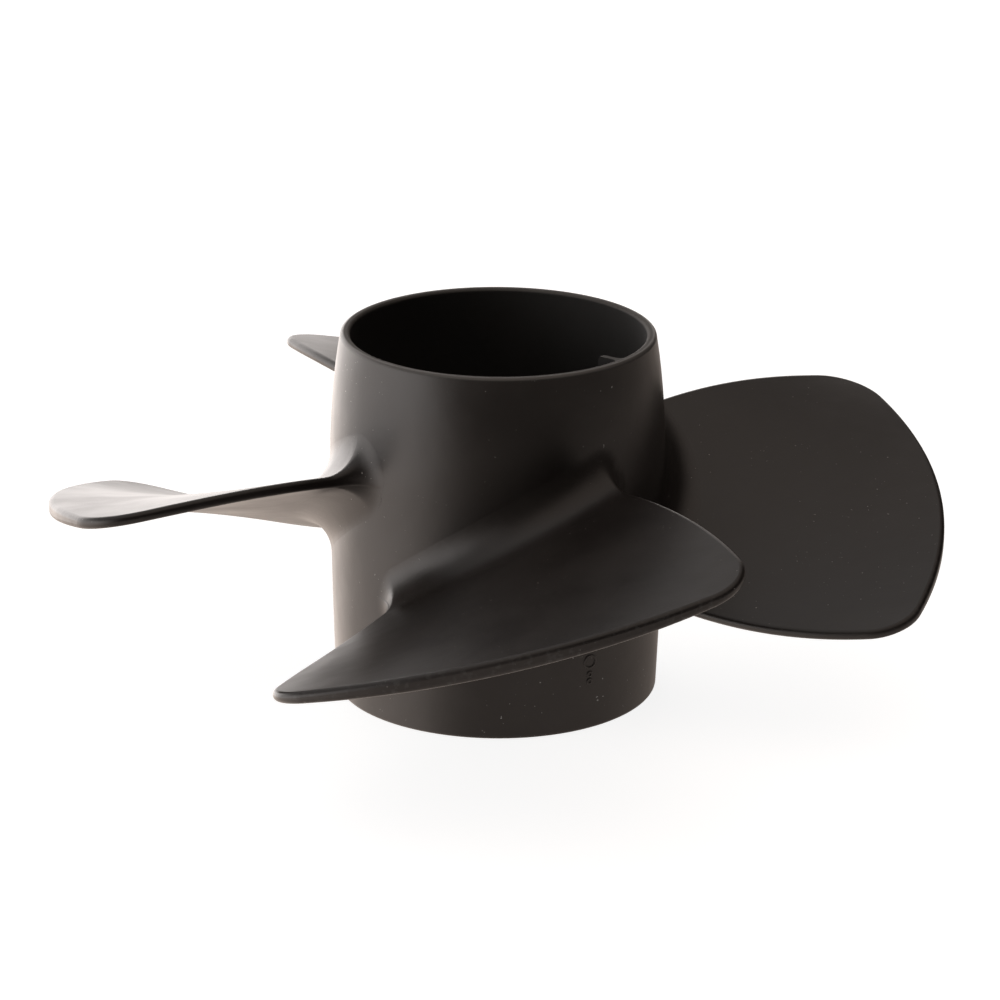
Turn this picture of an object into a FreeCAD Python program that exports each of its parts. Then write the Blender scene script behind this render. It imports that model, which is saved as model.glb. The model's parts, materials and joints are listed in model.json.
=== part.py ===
import FreeCAD, Part
import math
import os

# Four-blade, right-hand, through-hub-exhaust propeller for an outboard motor, with its slipping
# rubber hub and its shaft hardware.
#
# +Z is the shaft axis and points aft. The origin is the centre of the barrel's forward face,
# which is also the face that the propeller stands on. Lengths are millimetres, angles degrees.
# A triple is a value at the blade's root, half way out, and at its tip.

# Barrel: the outer shell that carries the blades and the exhaust gas
BARREL_LENGTH = 137.8
BARREL_FRONT_RADIUS = 60.5
BARREL_BELLY_RADIUS = 62.4
BARREL_BELLY_HEIGHT = 90.0
BARREL_AFT_RADIUS = 58.3
BORE_FRONT_RADIUS = 56.3
BORE_AFT_RADIUS = 54.8
RIM_ROUNDING = 1.3

# Blades
BLADE_COUNT = 4
BLADE_CLOCKING = -3.5
ROOT_RADIUS = 60.0
TIP_RADIUS = 166.7
PITCH = (218.0, 271.0, 249.0)
MID_HEIGHT = (67.4, 66.1, 67.0)
LEADING_ANGLE = (-30.8, -29.5, -24.8)
TRAILING_ANGLE = (41.7, 40.2, 35.7)
LEADING_CORNER = 17.0
TRAILING_CORNER = 20.0
EDGE_THICKNESS = 3.8
EDGE_ROUNDING = 1.8
AFT_CROWN = (2.2, 1.8, 1.6)
FORWARD_CROWN = (1.1, 0.6, 0.5)
BLADE_ROOT_FILLET = 14.6
BLADE_ROOT_DEPTH = 10.0

# Inner hub and the ribs that hold it inside the barrel
HUB_FRONT = 12.7
HUB_LENGTH = 67.3
HUB_RADIUS = 33.0
HUB_BORE_RADIUS = 25.5
HUB_EDGE_ROUNDING = 1.5
RIB_COUNT = 3
RIB_CLOCKING = -36.0
RIB_FRONT = 20.0
RIB_AFT = BARREL_LENGTH - 0.8
SHORT_RIB_AFT = 92.0
RIB_FRONT_THICKNESS = 4.6
RIB_AFT_THICKNESS = 2.2
RIB_SHOULDER_RADIUS = 45.5
RIB_SHOULDER_FRONT = 125.0
RIB_FOOT_RADIUS = 40.0
RIB_FOOT_AFT = 72.0
RIB_FILLET = 3.0
RIB_BENDS = (
    (RIB_SHOULDER_RADIUS, RIB_AFT, 1.5),
    (RIB_SHOULDER_RADIUS, RIB_SHOULDER_FRONT, 40.0),
    (RIB_FOOT_RADIUS, RIB_FOOT_AFT, RIB_FILLET),
)

# Slipping rubber hub and splined drive sleeve
RUNNING_CLEARANCE = 0.05
SLEEVE_FRONT = 12.4
SLEEVE_LENGTH = 71.6
SLEEVE_RADIUS = 18.0
SLEEVE_CHAMFER = 1.0
SPLINE_TEETH = 15
SPLINE_MINOR_RADIUS = 11.5
SPLINE_MAJOR_RADIUS = 12.8
SPLINE_SLOT_WIDTH = 2.7
BUSHING_FRONT = 16.0
BUSHING_LENGTH = 61.0
BUSHING_GROOVE_RADIUS = 1.6

# Shaft hardware
THRUST_WASHER_FRONT = 1.8
THRUST_WASHER_RADIUS = 31.0
THRUST_WASHER_BORE = 13.0
THRUST_SEAT_RADIUS = 17.0
THRUST_SEAT_DEPTH = 4.0
WASHER_CHAMFER = 0.8
SPACER_LENGTH = 6.0
SPACER_RADIUS = 19.0
SHAFT_END_CLEARANCE_RADIUS = 9.8
TAB_WASHER_THICKNESS = 1.2
TAB_WASHER_RADIUS = 18.0
TAB_WIDTH = 9.0
TAB_HEIGHT = 7.0
LOCATING_TAB_DEPTH = 3.5
LOCATING_TAB_WIDTH = 6.0
LOCATING_TAB_CLEARANCE = 0.3
NUT_ACROSS_FLATS = 27.0
NUT_HEX_HEIGHT = 12.0
NUT_COLLAR_HEIGHT = 4.0
NUT_COLLAR_RADIUS = 11.8
NUT_THREAD_RADIUS = 8.7
NUT_CHAMFER = 0.6
LOCK_RING_RADIUS = 10.4
LOCK_RING_BORE = 8.4
LOCK_RING_HEIGHT = 3.0

# Stations along the shaft that follow from the sizes above
HUB_AFT = HUB_FRONT + HUB_LENGTH
SLEEVE_AFT = SLEEVE_FRONT + SLEEVE_LENGTH
SPACER_AFT = SLEEVE_AFT + SPACER_LENGTH
TAB_WASHER_AFT = SPACER_AFT + TAB_WASHER_THICKNESS
NUT_HEX_AFT = TAB_WASHER_AFT + NUT_HEX_HEIGHT
NUT_AFT = NUT_HEX_AFT + NUT_COLLAR_HEIGHT

# How far working shapes run past what they cut, and how close counts as touching
OVERRUN = 15.0
SHEET_INNER_RADIUS = 36.0
TOUCHING = 0.01

ORIGIN = FreeCAD.Vector(0, 0, 0)
AXIS = FreeCAD.Vector(0, 0, 1)


def at(radius, z):
    """A point of a turned outline, in the XZ plane."""
    return FreeCAD.Vector(radius, 0, z)


def polar(radius, angle, z=0.0):
    turn = math.radians(angle)
    return FreeCAD.Vector(radius * math.cos(turn), radius * math.sin(turn), z)


def turned(edges):
    """The solid of revolution of a closed outline."""
    return Part.Face(Part.Wire(edges)).revolve(ORIGIN, AXIS, 360)


def turned_polygon(points):
    return turned(Part.makePolygon(points + points[:1]).Edges)


def tube(outer, inner, front, aft):
    return turned_polygon([at(inner, front), at(outer, front), at(outer, aft), at(inner, aft)])


def centred_box(width, depth, height, centre_x, front):
    corner = FreeCAD.Vector(centre_x - width / 2, -depth / 2, front)
    return Part.makeBox(width, depth, height, corner)


def clocked(solid, angle):
    """A copy of the solid, turned about the shaft."""
    copy = solid.copy()
    copy.rotate(ORIGIN, AXIS, angle)
    return copy


def middle(edge):
    return edge.valueAt((edge.FirstParameter + edge.LastParameter) / 2)


def touches(shape, point):
    return shape.distToShape(Part.Vertex(point))[0] < TOUCHING


def is_ring_at(edge, radius, z):
    point = middle(edge)
    return abs(point.z - z) < TOUCHING and abs(math.hypot(point.x, point.y) - radius) < TOUCHING


def round_rings(solid, rounding, rings):
    """Round the circular edges at the given (radius, z) pairs."""
    chosen = [edge for edge in solid.Edges if any(is_ring_at(edge, *ring) for ring in rings)]
    return solid.makeFillet(rounding, chosen)


def chamfer_rings(solid, size, rings):
    chosen = [edge for edge in solid.Edges if any(is_ring_at(edge, *ring) for ring in rings)]
    return solid.makeChamfer(size, chosen)


def blended_onto(piece, neighbour, fillet, least_length=0.0):
    """The piece with a cast fillet where it grows out of its neighbour, without the neighbour."""
    joined = piece.fuse(neighbour)
    corner = []
    for edge in joined.Edges:
        point = middle(edge)
        if edge.Length > least_length and touches(piece, point) and touches(neighbour, point):
            corner.append(edge)
    return joined.makeFillet(fillet, corner).cut(neighbour)


# ------------------------------------------------------------------ barrel

def barrel_radius(z):
    """The outside swells to the belly and draws in again to the aft rim."""
    if z < BARREL_BELLY_HEIGHT:
        end, span = BARREL_FRONT_RADIUS, BARREL_BELLY_HEIGHT
    else:
        end, span = BARREL_AFT_RADIUS, BARREL_LENGTH - BARREL_BELLY_HEIGHT
    away = (z - BARREL_BELLY_HEIGHT) / span
    return BARREL_BELLY_RADIUS - (BARREL_BELLY_RADIUS - end) * away ** 2


def barrel_arc(front, aft):
    stations = (front, (front + aft) / 2, aft)
    return Part.Arc(*[at(barrel_radius(z), z) for z in stations]).toShape()


def seam_behind(solid):
    """Turn a round solid's seam line from +X to -X, so that nothing grows out of it."""
    return clocked(solid, 180)


def barrel_core():
    """The barrel's outside as a full solid."""
    outline = [
        Part.makeLine(at(0, 0), at(BARREL_FRONT_RADIUS, 0)),
        barrel_arc(0, BARREL_BELLY_HEIGHT),
        barrel_arc(BARREL_BELLY_HEIGHT, BARREL_LENGTH),
        Part.makeLine(at(BARREL_AFT_RADIUS, BARREL_LENGTH), at(0, BARREL_LENGTH)),
        Part.makeLine(at(0, BARREL_LENGTH), at(0, 0)),
    ]
    return seam_behind(turned(outline))


def barrel_bore():
    """The drafted exhaust bore, as the solid that it removes."""
    return seam_behind(Part.makeCone(BORE_FRONT_RADIUS, BORE_AFT_RADIUS, BARREL_LENGTH))


def make_barrel():
    shell = barrel_core().cut(barrel_bore())
    rims = [
        (BARREL_FRONT_RADIUS, 0),
        (BORE_FRONT_RADIUS, 0),
        (BARREL_AFT_RADIUS, BARREL_LENGTH),
        (BORE_AFT_RADIUS, BARREL_LENGTH),
    ]
    return round_rings(shell, RIM_ROUNDING, rims)


# ------------------------------------------------------------------ blades

def along_blade(triple, radius):
    """A root, half-way and tip triple as a parabola in the radius."""
    root, half, tip = triple
    x = (radius - ROOT_RADIUS) / (TIP_RADIUS - ROOT_RADIUS)
    return root + (4 * half - 3 * root - tip) * x + 2 * (root + tip - 2 * half) * x ** 2


def blade_height(radius, angle, side):
    """Height of the aft (side 1) or forward (side -1) blade surface."""
    leading = along_blade(LEADING_ANGLE, radius)
    trailing = along_blade(TRAILING_ANGLE, radius)
    pitch = along_blade(PITCH, radius)
    across = (2 * angle - leading - trailing) / (trailing - leading)
    crown = along_blade(AFT_CROWN if side > 0 else FORWARD_CROWN, radius)
    half_thickness = EDGE_THICKNESS / 2 + crown * (1 - across ** 2)
    pitch_angle = math.atan2(pitch, 2 * math.pi * radius)
    helix = along_blade(MID_HEIGHT, radius) + pitch * angle / 360
    return helix + side * half_thickness / math.cos(pitch_angle)


def blade_surface(side):
    """A smooth helical sheet that runs past the blade's outline all round."""
    radial_steps = 14
    angular_steps = 16
    span = TIP_RADIUS + OVERRUN - SHEET_INNER_RADIUS
    overhang = 1.2
    grid = []
    for i in range(radial_steps + 1):
        radius = SHEET_INNER_RADIUS + span * i / radial_steps
        leading = along_blade(LEADING_ANGLE, radius)
        trailing = along_blade(TRAILING_ANGLE, radius)
        row = []
        for j in range(angular_steps + 1):
            across = overhang * (2 * j / angular_steps - 1)
            angle = (leading + trailing + across * (trailing - leading)) / 2
            row.append(polar(radius, angle, blade_height(radius, angle, side)))
        grid.append(row)
    sheet = Part.BSplineSurface()
    sheet.interpolate(grid)
    return sheet.toShape()


def outline_side(angles, inner_radius):
    steps = 4
    points = []
    for i in range(steps + 1):
        radius = inner_radius + (TIP_RADIUS - inner_radius) * i / steps
        points.append(polar(radius, along_blade(angles, radius)))
    curve = Part.BSplineCurve()
    curve.interpolate(points)
    return curve.toShape()


def blade_prism():
    """The blade's outline seen along the shaft, as a tall prism with rounded tip corners."""
    buried = ROOT_RADIUS - BLADE_ROOT_DEPTH
    leading = outline_side(LEADING_ANGLE, buried)
    trailing = outline_side(TRAILING_ANGLE, buried)
    tip_angles = (LEADING_ANGLE[2], (LEADING_ANGLE[2] + TRAILING_ANGLE[2]) / 2, TRAILING_ANGLE[2])
    tip = Part.Arc(*[polar(TIP_RADIUS, angle) for angle in tip_angles]).toShape()
    root_ends = [side.valueAt(side.FirstParameter) for side in (trailing, leading)]
    root = Part.makeLine(*root_ends)
    wire = Part.Wire(Part.__sortEdges__([leading, tip, trailing, root]))
    prism = Part.Face(wire).extrude(AXIS * BARREL_LENGTH)
    corners = ((LEADING_ANGLE[2], LEADING_CORNER), (TRAILING_ANGLE[2], TRAILING_CORNER))
    for angle, rounding in corners:
        corner = polar(TIP_RADIUS, angle, BARREL_LENGTH / 2)
        edges = [edge for edge in prism.Edges if middle(edge).distanceToPoint(corner) < 1.0]
        prism = prism.makeFillet(rounding, edges)
    return prism


def make_blade():
    """One blade: the prism between the two sheets, with a rounded rim and a root fillet."""
    pieces = blade_prism().generalFuse([blade_surface(1), blade_surface(-1)])[0].Solids
    blade = min(pieces, key=lambda solid: solid.Volume)
    rim = []
    for edge in blade.Edges:
        point = middle(edge)
        outside_root = math.hypot(point.x, point.y) > ROOT_RADIUS - BLADE_ROOT_DEPTH / 2
        if outside_root and edge.Length > 2 * EDGE_THICKNESS:
            rim.append(edge)
    return blended_onto(blade.makeFillet(EDGE_ROUNDING, rim), barrel_core(), BLADE_ROOT_FILLET)


# ------------------------------------------------------------------ inner hub and ribs

def make_inner_hub():
    hub = tube(HUB_RADIUS, HUB_BORE_RADIUS, HUB_FRONT, HUB_AFT)
    rings = [(radius, z) for radius in (HUB_RADIUS, HUB_BORE_RADIUS) for z in (HUB_FRONT, HUB_AFT)]
    return round_rings(hub, HUB_EDGE_ROUNDING, rings)


def rib_wedge(aft):
    """Everything within the thickness of a rib, which thins towards its aft end by casting draft."""
    taper = (RIB_FRONT_THICKNESS - RIB_AFT_THICKNESS) / (RIB_AFT - RIB_FRONT)
    front_half = RIB_FRONT_THICKNESS / 2
    aft_half = front_half - taper * (aft - RIB_FRONT) / 2
    section = Part.makePolygon([
        FreeCAD.Vector(0, -front_half, RIB_FRONT),
        FreeCAD.Vector(0, front_half, RIB_FRONT),
        FreeCAD.Vector(0, aft_half, aft),
        FreeCAD.Vector(0, -aft_half, aft),
        FreeCAD.Vector(0, -front_half, RIB_FRONT),
    ])
    return Part.Face(section).extrude(FreeCAD.Vector(BARREL_BELLY_RADIUS, 0, 0))


def make_rib(aft):
    """A thin rib that runs aft from the inner hub along the barrel's bore."""
    inside = HUB_RADIUS - HUB_EDGE_ROUNDING
    outside = BARREL_FRONT_RADIUS
    outline = [
        at(inside, RIB_FRONT),
        at(outside, RIB_FRONT),
        at(outside, RIB_AFT),
        at(RIB_SHOULDER_RADIUS, RIB_AFT),
        at(RIB_SHOULDER_RADIUS, RIB_SHOULDER_FRONT),
        at(RIB_FOOT_RADIUS, RIB_FOOT_AFT),
        at(inside, RIB_FOOT_AFT),
        at(inside, RIB_FRONT),
    ]
    sheet = Part.Face(Part.makePolygon(outline))
    sheet.translate(FreeCAD.Vector(0, -RIB_FRONT_THICKNESS, 0))
    rib = sheet.extrude(FreeCAD.Vector(0, 2 * RIB_FRONT_THICKNESS, 0))
    for radius, z, rounding in RIB_BENDS:
        bend = at(radius, z)
        edges = [edge for edge in rib.Edges if middle(edge).distanceToPoint(bend) < TOUCHING]
        rib = rib.makeFillet(rounding, edges)
    rib = rib.common(rib_wedge(aft)).common(barrel_core())
    hub = seam_behind(Part.makeCylinder(HUB_RADIUS, HUB_LENGTH, at(0, HUB_FRONT)))
    shell = barrel_core().cut(barrel_bore())
    longer_than_ends = 3 * RIB_FRONT_THICKNESS
    rib = blended_onto(rib, shell, RIB_FILLET, longer_than_ends)
    return blended_onto(rib, hub, RIB_FILLET)


# ------------------------------------------------------------------ rubber hub and drive sleeve

def make_drive_sleeve():
    """A brass sleeve with an internal spline for the propeller shaft."""
    sleeve = tube(SLEEVE_RADIUS, SPLINE_MINOR_RADIUS, SLEEVE_FRONT, SLEEVE_AFT)
    ends = [(SLEEVE_RADIUS, SLEEVE_FRONT), (SLEEVE_RADIUS, SLEEVE_AFT)]
    sleeve = chamfer_rings(sleeve, SLEEVE_CHAMFER, ends)
    slot_depth = SPLINE_MAJOR_RADIUS - SPLINE_MINOR_RADIUS / 2
    slot_centre = (SPLINE_MAJOR_RADIUS + SPLINE_MINOR_RADIUS / 2) / 2
    slot_height = SLEEVE_LENGTH + 2 * OVERRUN
    slots = []
    for tooth in range(SPLINE_TEETH):
        slot = centred_box(slot_depth, SPLINE_SLOT_WIDTH, slot_height, slot_centre, SLEEVE_FRONT - OVERRUN)
        slot.rotate(ORIGIN, AXIS, tooth * 360 / SPLINE_TEETH)
        slots.append(slot)
    return sleeve.cut(slots)


def make_rubber_bushing():
    """The rubber ring between the sleeve and the inner hub, with a moulded groove in each end."""
    inner = SLEEVE_RADIUS + RUNNING_CLEARANCE
    outer = HUB_BORE_RADIUS - RUNNING_CLEARANCE
    aft = BUSHING_FRONT + BUSHING_LENGTH
    bushing = tube(outer, inner, BUSHING_FRONT, aft)
    for z in (BUSHING_FRONT, aft):
        bushing = bushing.cut(Part.makeTorus((inner + outer) / 2, BUSHING_GROOVE_RADIUS, at(0, z)))
    return bushing


# ------------------------------------------------------------------ shaft hardware

def make_thrust_washer():
    """The washer in front of the hub, with the cone that seats on the shaft's taper."""
    return turned_polygon([
        at(THRUST_SEAT_RADIUS, THRUST_WASHER_FRONT),
        at(THRUST_WASHER_RADIUS - WASHER_CHAMFER, THRUST_WASHER_FRONT),
        at(THRUST_WASHER_RADIUS, THRUST_WASHER_FRONT + WASHER_CHAMFER),
        at(THRUST_WASHER_RADIUS, SLEEVE_FRONT - WASHER_CHAMFER),
        at(THRUST_WASHER_RADIUS - WASHER_CHAMFER, SLEEVE_FRONT),
        at(THRUST_WASHER_BORE, SLEEVE_FRONT),
        at(THRUST_WASHER_BORE, THRUST_WASHER_FRONT + THRUST_SEAT_DEPTH),
    ])


def locating_tab(clearance):
    """A tab of the lock washer that turns forward into a notch of the spacer."""
    width = TAB_WASHER_THICKNESS + 2 * clearance
    depth = LOCATING_TAB_WIDTH + 2 * clearance
    centre = TAB_WASHER_RADIUS - TAB_WASHER_THICKNESS / 2
    return centred_box(width, depth, LOCATING_TAB_DEPTH + clearance, centre,
                       SPACER_AFT - LOCATING_TAB_DEPTH - clearance)


def both_sides(solid):
    return [solid, clocked(solid, 180)]


def make_aft_spacer():
    spacer = tube(SPACER_RADIUS, SHAFT_END_CLEARANCE_RADIUS, SLEEVE_AFT, SPACER_AFT)
    ends = [(SPACER_RADIUS, SLEEVE_AFT), (SPACER_RADIUS, SPACER_AFT)]
    spacer = chamfer_rings(spacer, WASHER_CHAMFER, ends)
    return spacer.cut(both_sides(locating_tab(LOCATING_TAB_CLEARANCE)))


def make_tab_washer():
    """The lock washer: two tabs stand against flats of the nut, two locate in the spacer."""
    disc = tube(TAB_WASHER_RADIUS, SHAFT_END_CLEARANCE_RADIUS, SPACER_AFT, TAB_WASHER_AFT)
    lock_tab = centred_box(TAB_WASHER_THICKNESS, TAB_WIDTH, TAB_WASHER_THICKNESS + TAB_HEIGHT,
                           (NUT_ACROSS_FLATS + TAB_WASHER_THICKNESS) / 2, SPACER_AFT)
    lock_tab.rotate(ORIGIN, AXIS, 90)
    return disc.fuse(both_sides(lock_tab) + both_sides(locating_tab(0))).removeSplitter()


def make_prop_nut():
    """The elastic stop nut: a chamfered hexagon with a round collar for the locking ring."""
    corner_radius = NUT_ACROSS_FLATS / math.sqrt(3)
    corners = [polar(corner_radius, 60 * i, TAB_WASHER_AFT) for i in range(7)]
    hexagon = Part.Face(Part.makePolygon(corners)).extrude(AXIS * NUT_HEX_HEIGHT)
    flat_radius = NUT_ACROSS_FLATS / 2
    crown = turned_polygon([
        at(0, TAB_WASHER_AFT),
        at(flat_radius, TAB_WASHER_AFT),
        at(corner_radius, TAB_WASHER_AFT + NUT_CHAMFER * 2),
        at(corner_radius, NUT_HEX_AFT - NUT_CHAMFER * 2),
        at(flat_radius, NUT_HEX_AFT),
        at(0, NUT_HEX_AFT),
    ])
    collar = Part.makeCylinder(NUT_COLLAR_RADIUS, NUT_COLLAR_HEIGHT, at(0, NUT_HEX_AFT))
    nut = hexagon.common(crown).fuse(collar)
    nut = nut.cut(Part.makeCylinder(NUT_THREAD_RADIUS, NUT_AFT, ORIGIN))
    nut = nut.cut(Part.makeCylinder(LOCK_RING_RADIUS, LOCK_RING_HEIGHT, at(0, NUT_AFT - LOCK_RING_HEIGHT)))
    return round_rings(nut.removeSplitter(), NUT_CHAMFER, [(NUT_COLLAR_RADIUS, NUT_AFT)])


def make_lock_ring():
    ring = tube(LOCK_RING_RADIUS, LOCK_RING_BORE, NUT_AFT - LOCK_RING_HEIGHT, NUT_AFT)
    return chamfer_rings(ring, NUT_CHAMFER, [(LOCK_RING_BORE, NUT_AFT)])


# ------------------------------------------------------------------ the set of sub-parts

def make_parts():
    parts = {
        "barrel": make_barrel(),
        "inner_hub": make_inner_hub(),
        "rubber_bushing": make_rubber_bushing(),
        "drive_sleeve": make_drive_sleeve(),
        "thrust_washer": make_thrust_washer(),
        "aft_spacer": make_aft_spacer(),
        "tab_washer": make_tab_washer(),
        "prop_nut": make_prop_nut(),
        "nut_lock_ring": make_lock_ring(),
    }
    blade = make_blade()
    for i in range(BLADE_COUNT):
        parts[f"blade_{i + 1}"] = clocked(blade, BLADE_CLOCKING + 360 * i / BLADE_COUNT)
    for i in range(RIB_COUNT):
        rib = make_rib(RIB_AFT if i == 0 else SHORT_RIB_AFT)
        parts[f"rib_{i + 1}"] = clocked(rib, RIB_CLOCKING + 360 * i / RIB_COUNT)
    return parts


os.makedirs("parts", exist_ok=True)
for node, shape in make_parts().items():
    solids = shape.Solids
    print(f"{node}: {len(solids)} solid, valid {shape.isValid()}, {shape.Volume / 1000:.1f} cm3")
    shape.exportStep(f"parts/{node}.step")
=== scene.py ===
import json
import math

import bmesh
import bpy
from mathutils import Matrix, Vector


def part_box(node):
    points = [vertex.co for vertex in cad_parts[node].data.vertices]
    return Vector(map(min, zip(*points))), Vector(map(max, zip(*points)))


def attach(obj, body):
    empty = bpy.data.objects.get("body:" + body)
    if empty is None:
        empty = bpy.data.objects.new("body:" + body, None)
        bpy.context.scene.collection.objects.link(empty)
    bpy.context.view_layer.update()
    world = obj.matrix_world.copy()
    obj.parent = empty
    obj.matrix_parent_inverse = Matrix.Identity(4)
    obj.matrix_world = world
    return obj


# The looks of a black enamelled outboard propeller. The frame's CAD nodes give every machined and
# cast shape; this script gives them their finishes, adds the small details that are too fine for
# the CAD, and sets up the camera and the studio. Lengths are metres, in the frame's own axes:
# +Z is the shaft axis, and +Y points away from the camera.

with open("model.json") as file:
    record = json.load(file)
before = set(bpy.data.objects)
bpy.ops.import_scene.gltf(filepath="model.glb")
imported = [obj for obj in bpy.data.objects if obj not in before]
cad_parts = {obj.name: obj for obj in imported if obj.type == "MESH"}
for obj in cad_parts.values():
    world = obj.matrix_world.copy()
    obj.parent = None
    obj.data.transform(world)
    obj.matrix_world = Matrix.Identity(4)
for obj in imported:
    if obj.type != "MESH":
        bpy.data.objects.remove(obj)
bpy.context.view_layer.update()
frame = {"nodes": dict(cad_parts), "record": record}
MM = 0.001


# ------------------------------------------------------------------ camera

CAMERA_PLACE = (0.0, -1.44458, 0.58007)
CAMERA_PITCH = math.radians(-19.389)
CAMERA_YAW = math.radians(0.041)
CAMERA_ROLL = math.radians(0.426)
SENSOR_WIDTH = 36.0
FOCAL_LENGTH = SENSOR_WIDTH * 4.0937


def add_camera():
    data = bpy.data.cameras.new("camera")
    data.sensor_width = SENSOR_WIDTH
    data.lens = FOCAL_LENGTH
    data.clip_end = 20.0
    camera = bpy.data.objects.new("camera", data)
    heading = Matrix.Rotation(-CAMERA_YAW, 4, "Z")
    tilt = Matrix.Rotation(math.pi / 2 + CAMERA_PITCH, 4, "X")
    roll = Matrix.Rotation(CAMERA_ROLL, 4, "Z")
    camera.matrix_world = Matrix.Translation(CAMERA_PLACE) @ heading @ tilt @ roll
    bpy.context.scene.collection.objects.link(camera)
    bpy.context.scene.camera = camera


# ------------------------------------------------------------------ node helpers

class Nodes:
    """Short calls that add and link the nodes of one tree."""

    def __init__(self, tree):
        self.tree = tree

    def add(self, kind, **settings):
        node = self.tree.nodes.new(kind)
        for name, value in settings.items():
            setattr(node, name, value)
        return node

    def link(self, source, target):
        self.tree.links.new(source, target)

    def feed(self, socket, value):
        """Link a socket, or set its own value where a plain number is given."""
        if isinstance(value, bpy.types.NodeSocket):
            self.link(value, socket)
        else:
            socket.default_value = value

    def math(self, operation, first, second=0.0):
        node = self.add("ShaderNodeMath", operation=operation)
        self.feed(node.inputs[0], first)
        self.feed(node.inputs[1], second)
        return node.outputs[0]

    def ramp(self, value, low, high, out_low=0.0, out_high=1.0):
        """A smooth step of a value between two limits."""
        node = self.add("ShaderNodeMapRange", interpolation_type="SMOOTHSTEP")
        self.feed(node.inputs["Value"], value)
        node.inputs["From Min"].default_value = low
        node.inputs["From Max"].default_value = high
        node.inputs["To Min"].default_value = out_low
        node.inputs["To Max"].default_value = out_high
        return node.outputs["Result"]

    def mix(self, factor, first, second):
        node = self.add("ShaderNodeMix", data_type="RGBA")
        self.feed(node.inputs["Factor"], factor)
        self.feed(node.inputs["A"], first)
        self.feed(node.inputs["B"], second)
        return next(socket for socket in node.outputs if socket.type == "RGBA")

    def dot(self, vector, axis):
        node = self.add("ShaderNodeVectorMath", operation="DOT_PRODUCT")
        self.link(vector, node.inputs[0])
        node.inputs[1].default_value = axis
        return node.outputs["Value"]

    def noise(self, vector, scale, detail=3.0, roughness=0.55):
        node = self.add("ShaderNodeTexNoise")
        self.link(vector, node.inputs["Vector"])
        node.inputs["Scale"].default_value = scale
        node.inputs["Detail"].default_value = detail
        node.inputs["Roughness"].default_value = roughness
        return node.outputs["Fac"]

    def stretched(self, vector, scale):
        node = self.add("ShaderNodeMapping", vector_type="POINT")
        self.link(vector, node.inputs["Vector"])
        node.inputs["Scale"].default_value = scale
        return node.outputs["Vector"]

    def place(self):
        """The point's place in the frame, because every CAD node sits at the origin."""
        return self.add("ShaderNodeTexCoord").outputs["Object"]

    def cylinder(self, place):
        """(distance from the shaft axis, height) of a place."""
        parts = self.add("ShaderNodeSeparateXYZ")
        self.link(place, parts.inputs[0])
        across, along, height = parts.outputs
        squares = self.math("ADD", self.math("POWER", across, 2.0), self.math("POWER", along, 2.0))
        return self.math("SQRT", squares), height

    def bumps(self, *layers):
        """Stack (height, depth in metres) layers of bump and return the normal."""
        normal = None
        for height, depth in layers:
            node = self.add("ShaderNodeBump")
            self.link(height, node.inputs["Height"])
            node.inputs["Distance"].default_value = depth
            if normal is not None:
                self.link(normal, node.inputs["Normal"])
            normal = node.outputs["Normal"]
        return normal


def start_material(name):
    material = bpy.data.materials.new(name)
    material.use_nodes = True
    return material, Nodes(material.node_tree), material.node_tree.nodes["Principled BSDF"]


def grey(level, warmth=0.0):
    return (level * (1 + warmth), level, level * (1 - warmth), 1.0)


# ------------------------------------------------------------------ finishes

ENAMEL_DARK = (0.0088, 0.0070, 0.0064, 1.0)
ENAMEL_LIGHT = (0.0145, 0.0118, 0.0106, 1.0)
ENAMEL_DUST = grey(0.30, 0.05)
ENAMEL_WORN = grey(0.045, 0.04)
# Painted shade and soot: the bore colour is darker than the enamel, standing for the shade inside the deep
# bore.
BORE_SOOT_AND_SHADE = grey(0.007, 0.05)
# Painted highlight and worn paint: the rim colour is lighter, standing for the light line that the rounded
# aft rim catches.
RIM_WEAR_AND_HIGHLIGHT = grey(0.075, 0.06)
RUBBER_DARK = grey(0.012)
RUBBER_BLOOM = grey(0.034, 0.03)
BRASS = (0.72, 0.52, 0.23, 1.0)
BRASS_TARNISHED = (0.36, 0.22, 0.09, 1.0)
BRONZE = (0.60, 0.39, 0.20, 1.0)
BRONZE_TARNISHED = (0.34, 0.21, 0.11, 1.0)
STEEL_CLEAN = grey(0.58)
STEEL_STAINED = grey(0.40, 0.06)
NYLON_NEW = (0.76, 0.75, 0.69, 1.0)
NYLON_AGED = (0.66, 0.62, 0.50, 1.0)

# Where the enamel's finish changes: distances from the shaft axis, and heights of the aft rim. The bore's
# colour is painted darker, as soot and painted shade; the aft rim's colour is painted lighter, as worn
# paint and a painted highlight.
BORE_RADII = (0.0566, 0.0575)
TIP_WEAR_RADII = (0.1635, 0.1667)
RIM_WEAR_AND_HIGHLIGHT_HEIGHTS = (0.1366, 0.1374)


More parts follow.
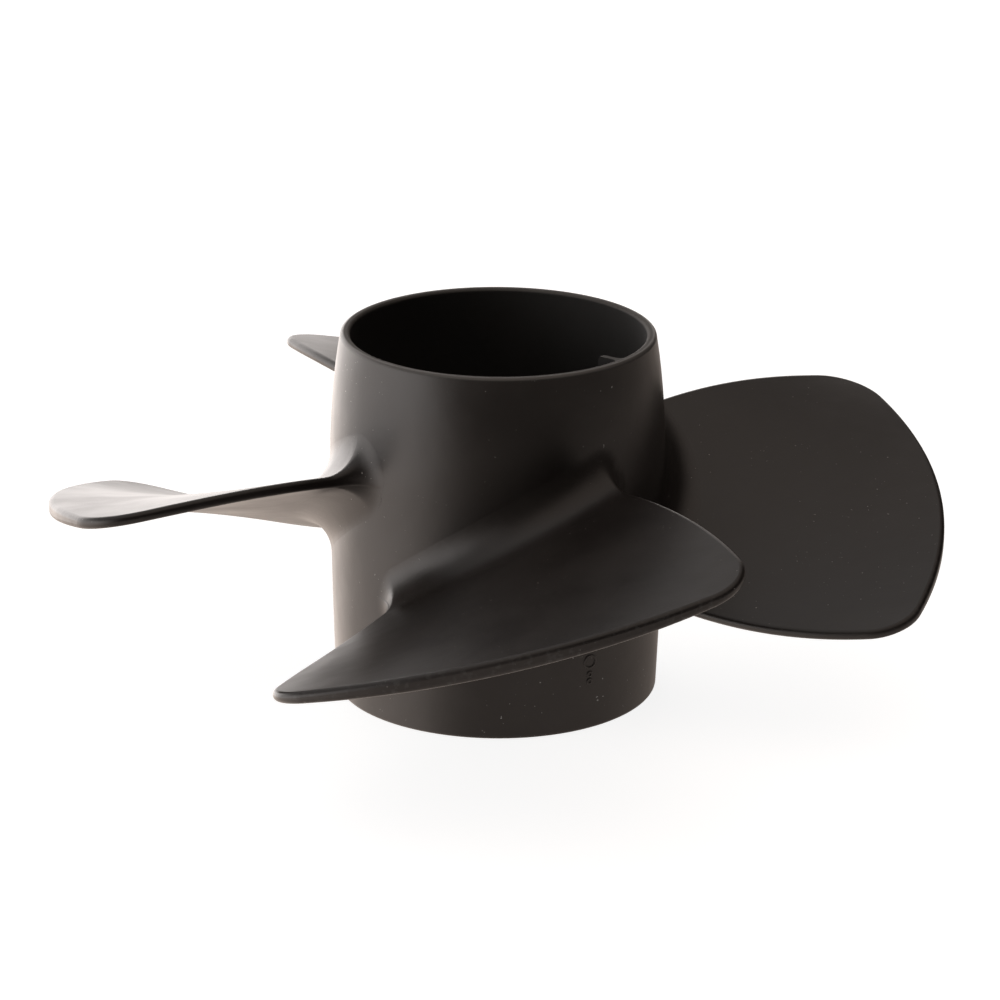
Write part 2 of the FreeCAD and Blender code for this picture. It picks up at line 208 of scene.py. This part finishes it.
def cast_enamel():
    """Satin black marine enamel sprayed over a sand-blasted casting. It is painted darker in the bore, as
    soot and painted shade for the deep bore; it is worn at the blade tips; and it is painted lighter on
    the aft rim, as worn paint and a painted highlight where the rounded rim edge catches a thin line of
    light."""
    material, nodes, shader = start_material("cast_black_enamel")
    place = nodes.place()
    radius, height = nodes.cylinder(place)

    clouds = nodes.noise(place, 22.0, 4.0)
    peel = nodes.noise(place, 620.0, 2.0)
    grain = nodes.noise(place, 2400.0, 2.0)
    waviness = nodes.noise(place, 38.0, 2.0)

    colour = nodes.mix(nodes.ramp(clouds, 0.35, 0.68), ENAMEL_DARK, ENAMEL_LIGHT)
    in_bore = nodes.ramp(radius, *BORE_RADII, 1.0, 0.0)
    # Painted shade and soot: the colour goes darker inside the bore, where shade falls.
    colour = nodes.mix(in_bore, colour, BORE_SOOT_AND_SHADE)

    patches = nodes.ramp(nodes.noise(place, 30.0, 3.0), 0.42, 0.66)
    specks = nodes.ramp(nodes.noise(place, 800.0, 1.0), 0.745, 0.785)
    dust = nodes.math("MULTIPLY", nodes.math("MULTIPLY", specks, patches), 0.8)
    dust = nodes.math("MULTIPLY", dust, nodes.math("SUBTRACT", 1.0, in_bore))
    colour = nodes.mix(dust, colour, ENAMEL_DUST)

    nicks = nodes.ramp(nodes.noise(place, 420.0, 4.0), 0.52, 0.66)
    at_tip = nodes.ramp(radius, *TIP_WEAR_RADII)
    worn = nodes.math("MULTIPLY", nodes.math("MULTIPLY", nicks, at_tip), 0.3)
    colour = nodes.mix(worn, colour, ENAMEL_WORN)
    # Painted highlight and worn paint: a lighter colour on the aft rim stands for the thin light line its
    # rounded edge catches.
    rim_wear_and_highlight_mask = nodes.ramp(height, *RIM_WEAR_AND_HIGHLIGHT_HEIGHTS, 0.0, 0.75)
    colour = nodes.mix(rim_wear_and_highlight_mask, colour, RIM_WEAR_AND_HIGHLIGHT)
    nodes.link(colour, shader.inputs["Base Color"])

    gloss = nodes.ramp(clouds, 0.3, 0.7, 0.30, 0.38)
    gloss = nodes.math("ADD", gloss, nodes.math("MULTIPLY", grain, 0.05))
    gloss = nodes.math("ADD", gloss, nodes.math("MULTIPLY", in_bore, 0.40))
    gloss = nodes.math("ADD", gloss, nodes.math("MULTIPLY", dust, 0.3))
    nodes.link(gloss, shader.inputs["Roughness"])
    normal = nodes.bumps((waviness, 0.35 * MM), (peel, 0.018 * MM), (grain, 0.006 * MM))
    nodes.link(normal, shader.inputs["Normal"])
    return material


def moulded_rubber():
    material, nodes, shader = start_material("hub_rubber")
    place = nodes.place()
    bloom = nodes.noise(place, 90.0, 5.0)
    grain = nodes.noise(place, 1800.0, 3.0)
    colour = nodes.mix(nodes.ramp(bloom, 0.4, 0.7), RUBBER_DARK, RUBBER_BLOOM)
    nodes.link(colour, shader.inputs["Base Color"])
    nodes.link(nodes.ramp(bloom, 0.3, 0.7, 0.62, 0.82), shader.inputs["Roughness"])
    nodes.link(nodes.bumps((bloom, 0.08 * MM), (grain, 0.03 * MM)), shader.inputs["Normal"])
    return material


def turned_metal(name, clean, tarnished, tarnish, groove_pitch, roughness):
    """Lathe-turned metal: fine tool grooves round the shaft axis, with some tarnish."""
    material, nodes, shader = start_material(name)
    place = nodes.place()
    radius, height = nodes.cylinder(place)
    wander = nodes.noise(place, 120.0, 4.0)
    along = nodes.math("ADD", radius, height)
    turns = nodes.math("MULTIPLY", along, 2 * math.pi / groove_pitch)
    grooves = nodes.math("SINE", nodes.math("ADD", turns, nodes.math("MULTIPLY", wander, 1.2)))
    stain = nodes.math("MULTIPLY", nodes.ramp(wander, 0.38, 0.72), tarnish)
    colour = nodes.mix(stain, clean, tarnished)
    nodes.link(colour, shader.inputs["Base Color"])
    shader.inputs["Metallic"].default_value = 1.0
    shine = nodes.ramp(wander, 0.3, 0.75, roughness, roughness + 0.16)
    nodes.link(nodes.math("ADD", shine, nodes.math("MULTIPLY", grooves, 0.03)), shader.inputs["Roughness"])
    nodes.link(nodes.bumps((wander, 0.03 * MM), (grooves, 0.004 * MM)), shader.inputs["Normal"])
    return material


def brushed_stainless():
    material, nodes, shader = start_material("brushed_stainless")
    place = nodes.place()
    streaks = nodes.noise(nodes.stretched(place, (90.0, 1600.0, 1600.0)), 1.0, 4.0)
    stain = nodes.noise(place, 70.0, 4.0)
    colour = nodes.mix(nodes.ramp(stain, 0.45, 0.75), STEEL_CLEAN, STEEL_STAINED)
    nodes.link(colour, shader.inputs["Base Color"])
    shader.inputs["Metallic"].default_value = 1.0
    shine = nodes.ramp(streaks, 0.25, 0.75, 0.22, 0.40)
    nodes.link(nodes.math("ADD", shine, nodes.math("MULTIPLY", stain, 0.06)), shader.inputs["Roughness"])
    nodes.link(nodes.bumps((stain, 0.02 * MM), (streaks, 0.004 * MM)), shader.inputs["Normal"])
    return material


def moulded_nylon():
    material, nodes, shader = start_material("moulded_nylon")
    place = nodes.place()
    clouds = nodes.noise(place, 160.0, 4.0)
    grain = nodes.noise(place, 2200.0, 2.0)
    colour = nodes.mix(nodes.ramp(clouds, 0.35, 0.7), NYLON_NEW, NYLON_AGED)
    nodes.link(colour, shader.inputs["Base Color"])
    shader.inputs["Subsurface Weight"].default_value = 0.15
    shader.inputs["Subsurface Scale"].default_value = 0.002
    nodes.link(nodes.ramp(clouds, 0.3, 0.7, 0.42, 0.55), shader.inputs["Roughness"])
    nodes.link(nodes.bumps((clouds, 0.04 * MM), (grain, 0.01 * MM)), shader.inputs["Normal"])
    return material


def paint_frame():
    """Give every CAD node the finish of the material slot that the record names for it."""
    for subpart in frame["record"]["subparts"]:
        for material_slot in frame["nodes"][subpart["node"]].material_slots:
            material_slot.material = FINISHES[subpart["material_slot"]]


# ------------------------------------------------------------------ fine details

THREAD_RADIUS = 8.7 * MM
THREAD_BURIED = 0.05 * MM
THREAD_PITCH = 25.4 / 16 * MM
THREAD_DEPTH = 0.35 * MM
BARREL_BELLY_RADIUS = 62.4 * MM
BARREL_BELLY_HEIGHT = 90.0 * MM
BARREL_FRONT_DRAW_IN = 1.9 * MM
MARK_HEIGHT = 23.0 * MM
MARK_ANGLE = math.radians(-56.0)
MARK_STROKE = 0.45 * MM
MARK_FLATNESS = 0.7
MARK_RING_RADIUS = 2.4 * MM
MARK_DOT_RADIUS = 0.9 * MM


def new_piece(name, mesh_maker, body, slot_name):
    """A mesh piece made by a bmesh function, with its finish, riding on a body."""
    mesh = bpy.data.meshes.new(name)
    shape = bmesh.new()
    mesh_maker(shape)
    bmesh.ops.recalc_face_normals(shape, faces=shape.faces)
    shape.to_mesh(mesh)
    shape.free()
    mesh.shade_smooth()
    mesh.materials.append(FINISHES[slot_name])
    piece = bpy.data.objects.new(name, mesh)
    bpy.context.scene.collection.objects.link(piece)
    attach(piece, body)
    return piece


def swept(shape, sections, closed):
    """Skin a row of equal point loops; an open row gets end caps."""
    loops = [[shape.verts.new(point) for point in section] for section in sections]
    pairs = list(zip(loops, loops[1:]))
    if closed:
        pairs.append((loops[-1], loops[0]))
    for here, there in pairs:
        for i in range(len(here)):
            j = (i + 1) % len(here)
            shape.faces.new((here[i], here[j], there[j], there[i]))
    if not closed:
        shape.faces.new(loops[0])
        shape.faces.new(loops[-1])


def thread_in(bottom, top):
    """A fine right-hand thread that fades out at both ends of a bore."""
    steps_per_turn = 72
    least_fade = 0.05
    turns = (top - bottom - THREAD_PITCH) / THREAD_PITCH
    steps = int(turns * steps_per_turn)

    def build(shape):
        sections = []
        for i in range(steps + 1):
            angle = 2 * math.pi * i / steps_per_turn
            height = bottom + THREAD_PITCH * (0.5 + i / steps_per_turn)
            to_nearer_end = min(i, steps - i)
            fade = min(1.0, 2 * to_nearer_end / steps_per_turn + least_fade)
            root = THREAD_RADIUS + THREAD_BURIED
            crest = THREAD_RADIUS - THREAD_DEPTH * fade
            profile = ((root, -0.40), (crest, -0.07), (crest, 0.07), (root, 0.40))
            sections.append([
                (radius * math.cos(angle), radius * math.sin(angle), height + rise * THREAD_PITCH)
                for radius, rise in profile
            ])
        swept(shape, sections, closed=False)

    return build


def on_barrel(across, up):
    """A point of the barrel's outside, by its distance across and up from the mark's centre."""
    height = MARK_HEIGHT + up
    away = (height - BARREL_BELLY_HEIGHT) / BARREL_BELLY_HEIGHT
    radius = BARREL_BELLY_RADIUS - BARREL_FRONT_DRAW_IN * away ** 2
    angle = MARK_ANGLE + across / radius
    return Vector((radius * math.cos(angle), radius * math.sin(angle), height))


def stroke(shape, path):
    """A raised, round-topped stroke of the mark along a closed path of (across, up) points."""
    facets = 10
    points = [on_barrel(across, up) for across, up in path]
    sections = []
    for i, point in enumerate(points):
        after = points[(i + 1) % len(points)]
        outward = Vector((point.x, point.y, 0)).normalized()
        sideways = (after - points[i - 1]).normalized().cross(outward)
        section = []
        for k in range(facets):
            turn = 2 * math.pi * k / facets
            offset = math.cos(turn) * sideways + MARK_FLATNESS * math.sin(turn) * outward
            section.append(point + MARK_STROKE * offset)
        sections.append(section)
    swept(shape, sections, closed=True)


def ring_path(centre_up, radius):
    steps = 40
    turns = [2 * math.pi * i / steps for i in range(steps)]
    return [(radius * math.cos(turn), centre_up + radius * math.sin(turn)) for turn in turns]


def cast_mark(shape):
    """A plain foundry sign: a ring over two dots."""
    stroke(shape, ring_path(4.2 * MM, MARK_RING_RADIUS))
    stroke(shape, ring_path(-0.8 * MM, MARK_DOT_RADIUS))
    stroke(shape, ring_path(-3.6 * MM, MARK_DOT_RADIUS))


add_camera()
FINISHES = {
    "cast_black": cast_enamel(),
    "rubber": moulded_rubber(),
    "brass": turned_metal("turned_brass", BRASS, BRASS_TARNISHED, 0.55, 0.5 * MM, 0.24),
    "bronze": turned_metal("turned_bronze", BRONZE, BRONZE_TARNISHED, 0.5, 0.7 * MM, 0.28),
    "stainless": brushed_stainless(),
    "nylon": moulded_nylon(),
}
paint_frame()

nut_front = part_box("prop_nut")[0][2]
lock_ring_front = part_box("nut_lock_ring")[0][2]
new_piece("nut_thread", thread_in(nut_front, lock_ring_front), "drive_core", "stainless")
new_piece("cast_mark", cast_mark, "casting", "cast_black")


# ------------------------------------------------------------------ studio

# Directions and strengths of the lights. A light's strength falls off smoothly between the two
# cosines that its ramp names, measured from its direction.
LEFT_PANEL = (-0.90, 0.43, 0.0)
LEFT_LAMP = (-0.97, -0.24, 0.0)
BACK_LAMP = (-0.50, 0.87, 0.0)
LEFT_PANEL_STRENGTH = 1.9
LEFT_LAMP_STRENGTH = 0.6
BACK_LAMP_STRENGTH = 1.4
OVERHEAD_STRENGTHS = (0.02, 0.55)
GLOW_STRENGTH = 0.40
PANEL_COLOUR = (1.06, 1.0, 0.97, 1.0)
FILL_COLOUR = (1.18, 1.0, 0.88, 1.0)
UPWARD = (0.0, 0.0, 1.0)
FLOOR_SIZE = 8.0
FLOOR_HEIGHT = -0.2 * MM


def add_world():
    """Soft light: a wide bright panel and two lamps on the left, and dimmer, warmer light
    overhead and below. The camera itself sees a plain white backdrop."""
    world = bpy.data.worlds.new("studio")
    world.use_nodes = True
    bpy.context.scene.world = world
    nodes = Nodes(world.node_tree)
    direction = nodes.add("ShaderNodeTexCoord").outputs["Generated"]
    rise = nodes.dot(direction, UPWARD)
    leftward = nodes.dot(direction, LEFT_PANEL)
    panel = nodes.ramp(leftward, -0.05, 0.60, 0.0, LEFT_PANEL_STRENGTH)
    left_lamp = nodes.ramp(nodes.dot(direction, LEFT_LAMP), 0.84, 1.0, 0.0, LEFT_LAMP_STRENGTH)
    back_lamp = nodes.ramp(nodes.dot(direction, BACK_LAMP), 0.80, 1.0, 0.0, BACK_LAMP_STRENGTH)
    sides = nodes.math("ADD", panel, nodes.math("ADD", left_lamp, back_lamp))
    sides = nodes.math("MULTIPLY", sides, nodes.ramp(rise, 0.25, 0.62, 1.0, 0.12))
    sides = nodes.math("MULTIPLY", sides, nodes.ramp(rise, -0.45, -0.22, 0.45, 1.0))
    above = nodes.ramp(rise, 0.50, 0.95, *OVERHEAD_STRENGTHS)
    below = nodes.ramp(rise, -0.20, -0.02, GLOW_STRENGTH, 0.0)
    level = nodes.math("ADD", sides, nodes.math("ADD", above, below))
    lighting = world.node_tree.nodes["Background"]
    from_panel = nodes.ramp(leftward, -0.10, 0.50)
    from_panel = nodes.math("MULTIPLY", from_panel, nodes.ramp(rise, -0.45, -0.15))
    tint = nodes.mix(from_panel, FILL_COLOUR, PANEL_COLOUR)
    nodes.link(tint, lighting.inputs["Color"])
    nodes.link(level, lighting.inputs["Strength"])
    backdrop = nodes.add("ShaderNodeBackground")
    backdrop.inputs["Color"].default_value = grey(1.0)
    choose = nodes.add("ShaderNodeMixShader")
    seen = nodes.add("ShaderNodeLightPath").outputs["Is Camera Ray"]
    nodes.link(seen, choose.inputs["Fac"])
    nodes.link(lighting.outputs[0], choose.inputs[1])
    nodes.link(backdrop.outputs[0], choose.inputs[2])
    nodes.link(choose.outputs[0], world.node_tree.nodes["World Output"].inputs["Surface"])
    bpy.context.scene.view_settings.view_transform = "Standard"


def add_floor():
    """A plain pale floor that stays out of the enamel's reflections. It is clear from below, so
    that the underside can be seen."""
    mesh = bpy.data.meshes.new("floor")
    shape = bmesh.new()
    bmesh.ops.create_grid(shape, size=FLOOR_SIZE / 2)
    shape.to_mesh(mesh)
    shape.free()
    floor = bpy.data.objects.new("floor", mesh)
    floor.location.z = FLOOR_HEIGHT
    floor.visible_glossy = False
    bpy.context.scene.collection.objects.link(floor)
    material, nodes, shader = start_material("pale_floor")
    shader.inputs["Base Color"].default_value = grey(0.45)
    shader.inputs["Roughness"].default_value = 0.8
    shader.inputs["Emission Color"].default_value = grey(1.0)
    shader.inputs["Emission Strength"].default_value = 0.87
    one_sided = nodes.add("ShaderNodeMixShader")
    nodes.link(nodes.add("ShaderNodeNewGeometry").outputs["Backfacing"], one_sided.inputs["Fac"])
    nodes.link(shader.outputs[0], one_sided.inputs[1])
    nodes.link(nodes.add("ShaderNodeBsdfTransparent").outputs[0], one_sided.inputs[2])
    output = material.node_tree.nodes["Material Output"]
    nodes.link(one_sided.outputs[0], output.inputs["Surface"])
    mesh.materials.append(material)


add_world()
add_floor()
